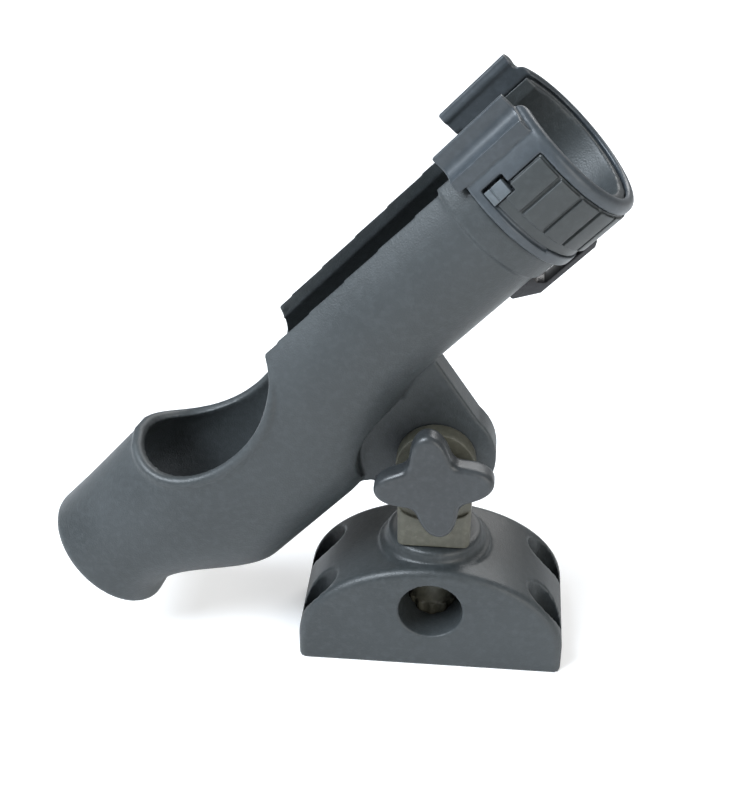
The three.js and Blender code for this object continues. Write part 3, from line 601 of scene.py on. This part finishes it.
def post():
    half = BLOCK_HALF_WIDTH
    side, far, near = half - BLOCK_ROUND, BLOCK_FAR - BLOCK_ROUND, -BLOCK_NEAR + BLOCK_ROUND
    corners = ((side, far, 0), (-side, far, 90), (-side, near, 180), (side, near, 270))
    outline = []
    for x, y, start in corners:
        for k in range(9):
            angle = math.radians(start + 90 * k / 8)
            outline.append((x + BLOCK_ROUND * math.cos(angle), y + BLOCK_ROUND * math.sin(angle)))
    head = prism("stem", outline, -BLOCK_LENGTH, 0, "Z", PIVOT_PLACE)
    clear_of_bracket = BRACKET_RADIUS + 2 * SLIDE_GAP
    clear_of_knob = KNOB_REACH + 2 * SLIDE_GAP
    clearances = [
        disc("clear", clear_of_bracket, EAR_FAR_FACE, BLOCK_FAR + 1, "Y", PIVOT_PLACE),
        disc("clear", clear_of_knob, -BLOCK_NEAR - 1, EAR_NEAR_FACE, "Y", PIVOT_PLACE),
    ]
    joined_and_cut(head, cut=clearances)
    ear = disc("ear", EAR_RADIUS, EAR_NEAR_FACE, EAR_FAR_FACE, "Y", PIVOT_PLACE)
    ear_root = block("ear_root", (-half, EAR_NEAR_FACE, -clear_of_bracket), (half, EAR_FAR_FACE, 0),
                     PIVOT_PLACE)
    collar_end = BLOCK_LENGTH + COLLAR_LENGTH
    shank_end = collar_end + SHANK_LENGTH
    neck_end = shank_end + NECK_LENGTH
    foot_end = neck_end + FOOT_LENGTH
    added = [
        ear, ear_root,
        ribbed("collar", *COLLAR, -collar_end, -BLOCK_LENGTH + 1, PIVOT_PLACE),
        disc("shank", SHANK_RADIUS, -shank_end, -collar_end + BAR_OVERLAP, "Z", PIVOT_PLACE),
        disc("neck", NECK_RADIUS, -neck_end + NECK_GROOVE, -shank_end + BAR_OVERLAP, "Z", PIVOT_PLACE),
        disc("groove", NECK_RADIUS - NECK_GROOVE, -neck_end - BAR_OVERLAP,
             -neck_end + NECK_GROOVE + BAR_OVERLAP, "Z", PIVOT_PLACE),
        ribbed("foot", *FOOT, -foot_end, -neck_end, PIVOT_PLACE),
    ]
    cuts = [
        disc("tooth_recess", TOOTH_RECESS_RADIUS, TOOTH_RECESS_FLOOR, EAR_FAR_FACE + 1, "Y", PIVOT_PLACE),
        disc("bolt_hole", BOLT_RADIUS + GAP, -BLOCK_NEAR - 2, BLOCK_FAR, "Y", PIVOT_PLACE),
    ]
    return joined_and_cut(head, added=added, cut=cuts, **SOFTENED["stem"])


# ---- Knob ----
def knob():
    face = KNOB_BACK - KNOB_THICKNESS
    lobes_back = KNOB_BACK - KNOB_HUB_LENGTH

    def outline(inset, y, count=180):
        points = []
        for k in range(count):
            angle = 2 * math.pi * k / count
            lobe = (0.5 + 0.5 * math.cos(KNOB_LOBES * (angle - math.radians(KNOB_PHASE)))) ** KNOB_SHARPNESS
            radius = mix(KNOB_WAIST, KNOB_REACH, lobe) - inset
            points.append((radius * math.cos(angle), y, radius * math.sin(angle)))
        return points

    rings = []
    for angle in quarter_turn():
        rings.append(outline(KNOB_ROUND * (1 - math.sin(angle)), face + KNOB_ROUND * (1 - math.cos(angle))))
    for angle in quarter_turn():
        inset = KNOB_ROUND * (1 - math.cos(angle))
        rings.append(outline(inset, lobes_back - KNOB_ROUND * (1 - math.sin(angle))))
    body = new_object("knob", rings, PIVOT_PLACE)
    hub = disc("hub", KNOB_HUB_RADIUS, face + KNOB_ROUND, KNOB_BACK, "Y", PIVOT_PLACE)
    pocket_end = KNOB_BACK - GAP - INSERT_LENGTH - GAP
    pocket = disc("pocket", INSERT_RADIUS + THREAD_GAP, pocket_end, KNOB_BACK + 1, "Y", PIVOT_PLACE,
                  segments=6)
    return joined_and_cut(body, added=[hub], cut=[pocket], **SOFTENED["knob"])


# ---- Deck mount ----
def mount_outline(inset, y):
    half = MOUNT_WIDTH / 2 - inset
    rise = MOUNT_CROWN - MOUNT_SHOULDER - inset
    points = [(-half, y, 0), (half, y, 0)]
    for k in range(121):
        angle = math.pi * k / 120
        points.append((half * math.cos(angle), y, MOUNT_SHOULDER + rise * math.sin(angle)))
    return points


def deck_mount():
    face = MOUNT_DEPTH / 2
    rounding = [(MOUNT_EDGE * (1 - math.sin(a)), MOUNT_EDGE * (1 - math.cos(a))) for a in quarter_turn()]
    front = [mount_outline(inset, -face + depth) for inset, depth in rounding]
    back = [mount_outline(inset, face - depth) for inset, depth in reversed(rounding)]
    body = new_object("deck_mount", front + back, MOUNT_PLACE)
    top = MOUNT_CROWN + BOSS_HEIGHT
    foot = BOSS_RADIUS + BOSS_FILLET
    profile = [(MOUNT_CROWN / 2, 0), (MOUNT_CROWN / 2, foot)]
    for angle in quarter_turn():
        profile.append((MOUNT_CROWN + BOSS_FOOT_RISE - BOSS_FILLET * math.cos(angle),
                        BOSS_RADIUS + BOSS_FILLET * (1 - math.sin(angle))))
    for angle in quarter_turn():
        profile.append((top - BOSS_ROUND * (1 - math.sin(angle)),
                        BOSS_RADIUS - BOSS_ROUND * (1 - math.cos(angle))))
    profile.append((top, 0))
    boss = turned("boss", profile, "Z", MOUNT_PLACE)
    cuts = [
        ribbed("socket", *COLLAR, CROSS_BORE_HEIGHT, top + 1, MOUNT_PLACE, SLIDE_GAP),
        ribbed("lower_socket", *FOOT, MOUNT_FLOOR, CROSS_BORE_HEIGHT, MOUNT_PLACE, SLIDE_GAP),
        disc("cross_bore", CROSS_BORE_RADIUS, -MOUNT_DEPTH, MOUNT_DEPTH, "Y", MOUNT_PLACE,
             centre=(0, CROSS_BORE_HEIGHT)),
    ]
    for x in (-SCREW_X, SCREW_X):
        for y in (-SCREW_Y, SCREW_Y):
            cuts.append(disc("screw_pocket", SCREW_POCKET_RADIUS, SCREW_SEAT, MOUNT_CROWN, "Z", MOUNT_PLACE,
                             centre=(x, y)))
            cuts.append(disc("screw_hole", SCREW_HOLE_RADIUS, -1, SCREW_SEAT + 1, "Z", MOUNT_PLACE,
                             centre=(x, y)))
    return joined_and_cut(body, added=[boss], cut=cuts, **SOFTENED["deck_mount"])


# ---- Small pieces: the CAD shape with eased edges ----
def eased(node, width):
    """A copy of a CAD node with its edges bevelled by a width in millimetres."""
    source = frame["nodes"][node]
    piece = bpy.data.objects.new(node, source.data.copy())
    bpy.context.scene.collection.objects.link(piece)
    mesh = bmesh.new()
    mesh.from_mesh(piece.data)
    bmesh.ops.remove_doubles(mesh, verts=mesh.verts, dist=1e-6)
    bmesh.ops.dissolve_limit(mesh, angle_limit=math.radians(2), verts=mesh.verts, edges=mesh.edges)
    mesh.to_mesh(piece.data)
    mesh.free()
    bevel = piece.modifiers.new("eased_edges", "BEVEL")
    bevel.width = width * MM
    bevel.segments = 3
    bevel.limit_method = "ANGLE"
    bevel.angle_limit = math.radians(35)
    joined_and_cut(piece)
    piece.data.set_sharp_from_angle(angle=math.radians(40))
    return piece


# ---- Materials ----
def group_sockets(group, inputs, outputs):
    for name, value in inputs:
        socket = group.interface.new_socket(name, in_out="INPUT", socket_type="NodeSocketFloat")
        socket.default_value = value
    for name in outputs:
        group.interface.new_socket(name, in_out="OUTPUT", socket_type="NodeSocketFloat")


def node(tree, kind, at, **settings):
    made = tree.nodes.new(kind)
    made.location = at
    for key, value in settings.items():
        setattr(made, key, value)
    return made


def moulded_grain_group():
    """Fine spark-eroded grain, and slow changes in how dark and dull the plastic is."""
    group = bpy.data.node_groups.new("moulded_grain", "ShaderNodeTree")
    group_sockets(group, (("Grain Scale", 2600.0), ("Patch Scale", 28.0)), ("Height", "Patches", "Speckle"))
    link = group.links.new
    enter = node(group, "NodeGroupInput", (-700, 0))
    leave = node(group, "NodeGroupOutput", (500, 0))
    place = node(group, "ShaderNodeTexCoord", (-700, -250))
    grain = node(group, "ShaderNodeTexNoise", (-400, 200))
    grain.inputs["Detail"].default_value = 2.0
    pits = node(group, "ShaderNodeTexVoronoi", (-400, -60))
    patches = node(group, "ShaderNodeTexNoise", (-400, -340))
    patches.inputs["Detail"].default_value = 4.0
    speckle = node(group, "ShaderNodeTexNoise", (-400, -600))
    speckle.inputs["Detail"].default_value = 6.0
    speckle.inputs["Scale"].default_value = 420.0
    for texture in (grain, pits, patches, speckle):
        link(place.outputs["Object"], texture.inputs["Vector"])
    link(enter.outputs["Grain Scale"], grain.inputs["Scale"])
    link(enter.outputs["Grain Scale"], pits.inputs["Scale"])
    link(enter.outputs["Patch Scale"], patches.inputs["Scale"])
    height = node(group, "ShaderNodeMath", (-100, 150), operation="MULTIPLY_ADD")
    height.inputs[1].default_value = 0.6
    link(pits.outputs["Distance"], height.inputs[0])
    link(grain.outputs["Fac"], height.inputs[2])
    spread = node(group, "ShaderNodeMapRange", (-100, -340))
    spread.inputs["From Min"].default_value = 0.35
    spread.inputs["From Max"].default_value = 0.68
    link(patches.outputs["Fac"], spread.inputs["Value"])
    flecks = node(group, "ShaderNodeMapRange", (-100, -600))
    flecks.inputs["From Min"].default_value = 0.45
    flecks.inputs["From Max"].default_value = 0.7
    link(speckle.outputs["Fac"], flecks.inputs["Value"])
    link(height.outputs[0], leave.inputs["Height"])
    link(spread.outputs["Result"], leave.inputs["Patches"])
    link(flecks.outputs["Result"], leave.inputs["Speckle"])
    return group


def handling_group():
    """Faint scuffs from use: long thin marks in two directions, as a mask."""
    group = bpy.data.node_groups.new("handling_scuffs", "ShaderNodeTree")
    group_sockets(group, (("Amount", 0.5),), ("Scuffs",))
    link = group.links.new
    enter = node(group, "NodeGroupInput", (-900, 200))
    leave = node(group, "NodeGroupOutput", (500, 0))
    place = node(group, "ShaderNodeTexCoord", (-900, -100))
    masks = []
    for k, stretch in enumerate(((40.0, 900.0, 260.0), (700.0, 60.0, 500.0))):
        mapping = node(group, "ShaderNodeMapping", (-700, -220 * k))
        mapping.inputs["Scale"].default_value = stretch
        mapping.inputs["Rotation"].default_value = (0.3, 0.6 * k, 0.5)
        marks = node(group, "ShaderNodeTexNoise", (-500, -220 * k))
        marks.inputs["Scale"].default_value = 1.0
        marks.inputs["Detail"].default_value = 3.0
        thin = node(group, "ShaderNodeMapRange", (-300, -220 * k))
        thin.inputs["From Min"].default_value = 0.66
        thin.inputs["From Max"].default_value = 0.74
        link(place.outputs["Object"], mapping.inputs["Vector"])
        link(mapping.outputs["Vector"], marks.inputs["Vector"])
        link(marks.outputs["Fac"], thin.inputs["Value"])
        masks.append(thin)
    both = node(group, "ShaderNodeMath", (0, 0), operation="MAXIMUM")
    link(masks[0].outputs["Result"], both.inputs[0])
    link(masks[1].outputs["Result"], both.inputs[1])
    scaled = node(group, "ShaderNodeMath", (200, 0), operation="MULTIPLY")
    link(both.outputs[0], scaled.inputs[0])
    link(enter.outputs["Amount"], scaled.inputs[1])
    link(scaled.outputs[0], leave.inputs["Scuffs"])
    return group


def brushed_group():
    """Fine turning lines on metal."""
    group = bpy.data.node_groups.new("turned_metal", "ShaderNodeTree")
    group_sockets(group, (("Line Scale", 1800.0),), ("Lines", "Tarnish"))
    link = group.links.new
    enter = node(group, "NodeGroupInput", (-700, 0))
    leave = node(group, "NodeGroupOutput", (400, 0))
    place = node(group, "ShaderNodeTexCoord", (-900, -200))
    mapping = node(group, "ShaderNodeMapping", (-700, -200))
    mapping.inputs["Scale"].default_value = (0.15, 1.0, 0.15)
    lines = node(group, "ShaderNodeTexNoise", (-400, 0))
    tarnish = node(group, "ShaderNodeTexNoise", (-400, -300))
    tarnish.inputs["Scale"].default_value = 160.0
    tarnish.inputs["Detail"].default_value = 5.0
    link(place.outputs["Object"], mapping.inputs["Vector"])
    link(mapping.outputs["Vector"], lines.inputs["Vector"])
    link(place.outputs["Object"], tarnish.inputs["Vector"])
    link(enter.outputs["Line Scale"], lines.inputs["Scale"])
    link(lines.outputs["Fac"], leave.inputs["Lines"])
    link(tarnish.outputs["Fac"], leave.inputs["Tarnish"])
    return group


GRAIN = moulded_grain_group()
SCUFFS = handling_group()
TURNED = brushed_group()


def principled(name):
    material = bpy.data.materials.new(name)
    material.use_nodes = True
    tree = material.node_tree
    return material, tree, tree.nodes["Principled BSDF"]


def colour_mix(tree, at, low, high):
    made = node(tree, "ShaderNodeMix", at, data_type="RGBA")
    made.inputs["A"].default_value = (*low, 1.0)
    made.inputs["B"].default_value = (*high, 1.0)
    return made


def moulded_plastic(name, dark, light, scuffed, roughness, grain_scale=2600.0, grain_depth=0.05, scuffs=0.5):
    """Moulded plastic: two close tones in slow patches, pale scuffs, and a fine grain."""
    material, tree, shader = principled(name)
    link = tree.links.new
    grain = node(tree, "ShaderNodeGroup", (-900, 100), node_tree=GRAIN)
    grain.inputs["Grain Scale"].default_value = grain_scale
    marks = node(tree, "ShaderNodeGroup", (-900, -250), node_tree=SCUFFS)
    marks.inputs["Amount"].default_value = scuffs
    tone = colour_mix(tree, (-600, 200), dark, light)
    fleck = node(tree, "ShaderNodeMix", (-420, 120), data_type="RGBA")
    fleck.inputs["B"].default_value = (*[min(1.0, c * 1.5) for c in light], 1.0)
    soft = node(tree, "ShaderNodeMath", (-600, 0), operation="MULTIPLY")
    soft.inputs[1].default_value = 0.35
    worn = node(tree, "ShaderNodeMix", (-240, 60), data_type="RGBA")
    worn.inputs["B"].default_value = (*scuffed, 1.0)
    link(grain.outputs["Patches"], tone.inputs["Factor"])
    link(grain.outputs["Speckle"], soft.inputs[0])
    link(soft.outputs[0], fleck.inputs["Factor"])
    link(tone.outputs["Result"], fleck.inputs["A"])
    link(marks.outputs["Scuffs"], worn.inputs["Factor"])
    link(fleck.outputs["Result"], worn.inputs["A"])
    link(worn.outputs["Result"], shader.inputs["Base Color"])
    gloss = node(tree, "ShaderNodeMapRange", (-420, -160))
    gloss.inputs["To Min"].default_value = roughness - 0.06
    gloss.inputs["To Max"].default_value = roughness + 0.08
    link(grain.outputs["Patches"], gloss.inputs["Value"])
    link(gloss.outputs["Result"], shader.inputs["Roughness"])
    bump = node(tree, "ShaderNodeBump", (-240, -360))
    bump.inputs["Strength"].default_value = 0.35
    bump.inputs["Distance"].default_value = grain_depth * MM
    link(grain.outputs["Height"], bump.inputs["Height"])
    link(bump.outputs["Normal"], shader.inputs["Normal"])
    shader.inputs["Specular IOR Level"].default_value = 0.5
    return material


def turned_metal(name, bright, dull, roughness):
    material, tree, shader = principled(name)
    link = tree.links.new
    lines = node(tree, "ShaderNodeGroup", (-700, 0), node_tree=TURNED)
    tone = colour_mix(tree, (-400, 150), bright, dull)
    link(lines.outputs["Tarnish"], tone.inputs["Factor"])
    link(tone.outputs["Result"], shader.inputs["Base Color"])
    gloss = node(tree, "ShaderNodeMapRange", (-400, -100))
    gloss.inputs["To Min"].default_value = roughness - 0.08
    gloss.inputs["To Max"].default_value = roughness + 0.12
    link(lines.outputs["Lines"], gloss.inputs["Value"])
    link(gloss.outputs["Result"], shader.inputs["Roughness"])
    bump = node(tree, "ShaderNodeBump", (-400, -300))
    bump.inputs["Strength"].default_value = 0.15
    bump.inputs["Distance"].default_value = 0.03 * MM
    link(lines.outputs["Lines"], bump.inputs["Height"])
    link(bump.outputs["Normal"], shader.inputs["Normal"])
    shader.inputs["Metallic"].default_value = 1.0
    return material


charcoal = moulded_plastic(
    "charcoal_moulding", (0.029, 0.034, 0.036), (0.040, 0.046, 0.049), (0.075, 0.084, 0.088), 0.46,
    grain_scale=1500.0, grain_depth=0.22, scuffs=0.12)
ring_plastic = moulded_plastic(
    "ring_moulding", (0.036, 0.043, 0.050), (0.047, 0.056, 0.064), (0.09, 0.10, 0.11), 0.36,
    grain_depth=0.03, scuffs=0.12)
grip_plastic = moulded_plastic(
    "grip_moulding", (0.028, 0.032, 0.033), (0.038, 0.043, 0.044), (0.08, 0.085, 0.085), 0.42,
    grain_depth=0.04, scuffs=0.12)
detent_plastic = moulded_plastic(
    "detent_moulding", (0.075, 0.088, 0.098), (0.098, 0.112, 0.122), (0.16, 0.17, 0.18), 0.36,
    grain_depth=0.02, scuffs=0.2)
olive_plastic = moulded_plastic(
    "olive_moulding", (0.070, 0.068, 0.050), (0.100, 0.096, 0.073), (0.17, 0.165, 0.14), 0.46,
    grain_scale=1100.0, grain_depth=0.12, scuffs=0.4)
catch_plastic = moulded_plastic(
    "catch_moulding", (0.020, 0.020, 0.023), (0.030, 0.029, 0.033), (0.06, 0.06, 0.065), 0.33,
    grain_depth=0.01, scuffs=0.2)
knob_plastic = moulded_plastic(
    "knob_moulding", (0.027, 0.030, 0.032), (0.037, 0.041, 0.044), (0.08, 0.085, 0.09), 0.38,
    grain_scale=1800.0, grain_depth=0.10, scuffs=0.15)
stainless = turned_metal("stainless", (0.63, 0.64, 0.65), (0.50, 0.51, 0.52), 0.3)
brass = turned_metal("brass", (0.70, 0.52, 0.24), (0.52, 0.36, 0.15), 0.32)

stands_for(holder_body(), "holder_body", charcoal)
stands_for(lock_ring(), "lock_ring", ring_plastic)
stands_for(ring_grip(), "ring_grip", grip_plastic)
stands_for(ring_detent(), "ring_detent", detent_plastic)
stands_for(post(), "stem", olive_plastic)
stands_for(knob(), "knob", knob_plastic)
stands_for(deck_mount(), "deck_mount", charcoal)
for small, finish, width in (
    ("ring_catch", catch_plastic, 0.45), ("pivot_bolt", stainless, 0.35),
    ("bolt_washer", stainless, 0.25), ("thrust_washer", stainless, 0.25), ("wave_washer", stainless, 0.2),
    ("knob_insert", brass, 0.25),
):
    stands_for(eased(small, width), small, finish)


# ---- Floor, light and camera ----
FLOOR_HALF = 6000.0
FLOOR_THICKNESS = 20.0
FLOOR_DROP = 0.02
VIEW_AZIMUTH = math.radians(5.5)
VIEW_ELEVATION = math.radians(31.4)
VIEW_DISTANCE = 0.552
VIEW_OFFSET = Vector((-0.0268, 0, 0.0199))  # from the tilt pivot to the point looked at
VIEW_LENS = 66.1


def floor():
    corners = ((-FLOOR_HALF, -FLOOR_HALF), (FLOOR_HALF, -FLOOR_HALF), (FLOOR_HALF, FLOOR_HALF),
               (-FLOOR_HALF, FLOOR_HALF))
    place = MOUNT_PLACE @ Matrix.Translation((0, 0, -FLOOR_DROP))
    plane = prism("floor", corners, -FLOOR_THICKNESS, 0, "Z", place)
    material, tree, shader = principled("pale_floor")
    shader.inputs["Base Color"].default_value = (0.86, 0.86, 0.86, 1)
    shader.inputs["Roughness"].default_value = 0.9
    rays = node(tree, "ShaderNodeLightPath", (-400, -300))
    lift = node(tree, "ShaderNodeMath", (-200, -300), operation="MULTIPLY")
    lift.inputs[1].default_value = 0.30
    tree.links.new(rays.outputs["Is Camera Ray"], lift.inputs[0])
    shader.inputs["Emission Color"].default_value = (1, 1, 1, 1)
    tree.links.new(lift.outputs[0], shader.inputs["Emission Strength"])
    plane.data.materials.append(material)


def studio():
    world = bpy.data.worlds.new("studio")
    bpy.context.scene.world = world
    world.use_nodes = True
    tree = world.node_tree
    background = tree.nodes["Background"]
    rays = node(tree, "ShaderNodeLightPath", (-600, 0))
    strength = node(tree, "ShaderNodeMapRange", (-300, 0))
    strength.inputs["To Min"].default_value = 0.24
    strength.inputs["To Max"].default_value = 1.0
    tree.links.new(rays.outputs["Is Camera Ray"], strength.inputs["Value"])
    tree.links.new(strength.outputs["Result"], background.inputs["Strength"])
    background.inputs["Color"].default_value = (0.97, 0.985, 1.0, 1)


def area_light(name, place, aim, size, watts, colour):
    lamp = bpy.data.lights.new(name, "AREA")
    lamp.shape = "RECTANGLE"
    lamp.size, lamp.size_y = size
    lamp.energy = watts
    lamp.color = colour
    made = bpy.data.objects.new(name, lamp)
    made.location = place
    made.rotation_euler = (Vector(aim) - Vector(place)).to_track_quat("-Z", "Y").to_euler()
    bpy.context.scene.collection.objects.link(made)


def camera():
    back = Vector((math.sin(VIEW_AZIMUTH) * math.cos(VIEW_ELEVATION),
                   -math.cos(VIEW_AZIMUTH) * math.cos(VIEW_ELEVATION), math.sin(VIEW_ELEVATION)))
    lens = bpy.data.cameras.new("camera")
    lens.lens = VIEW_LENS
    lens.sensor_width = 36.0
    lens.clip_start = 0.01
    made = bpy.data.objects.new("camera", lens)
    made.location = PIVOT + VIEW_OFFSET + back * VIEW_DISTANCE
    made.rotation_euler = (-back).to_track_quat("-Z", "Y").to_euler()
    bpy.context.scene.collection.objects.link(made)
    bpy.context.scene.camera = made


floor()
studio()
middle = (cad_bounds[0] + cad_bounds[1]) / 2
area_light("key", (-0.85, -0.45, 1.25), middle, (1.0, 0.8), 42.0, (0.84, 0.92, 1.0))
area_light("fill", (0.8, -1.0, 0.45), middle, (0.7, 0.9), 7.0, (1.0, 0.98, 0.93))
area_light("back", (0.35, 1.0, 0.9), middle, (1.0, 0.6), 10.0, (1.0, 1.0, 1.0))
camera()
bpy.context.scene.view_settings.view_transform = "Standard"
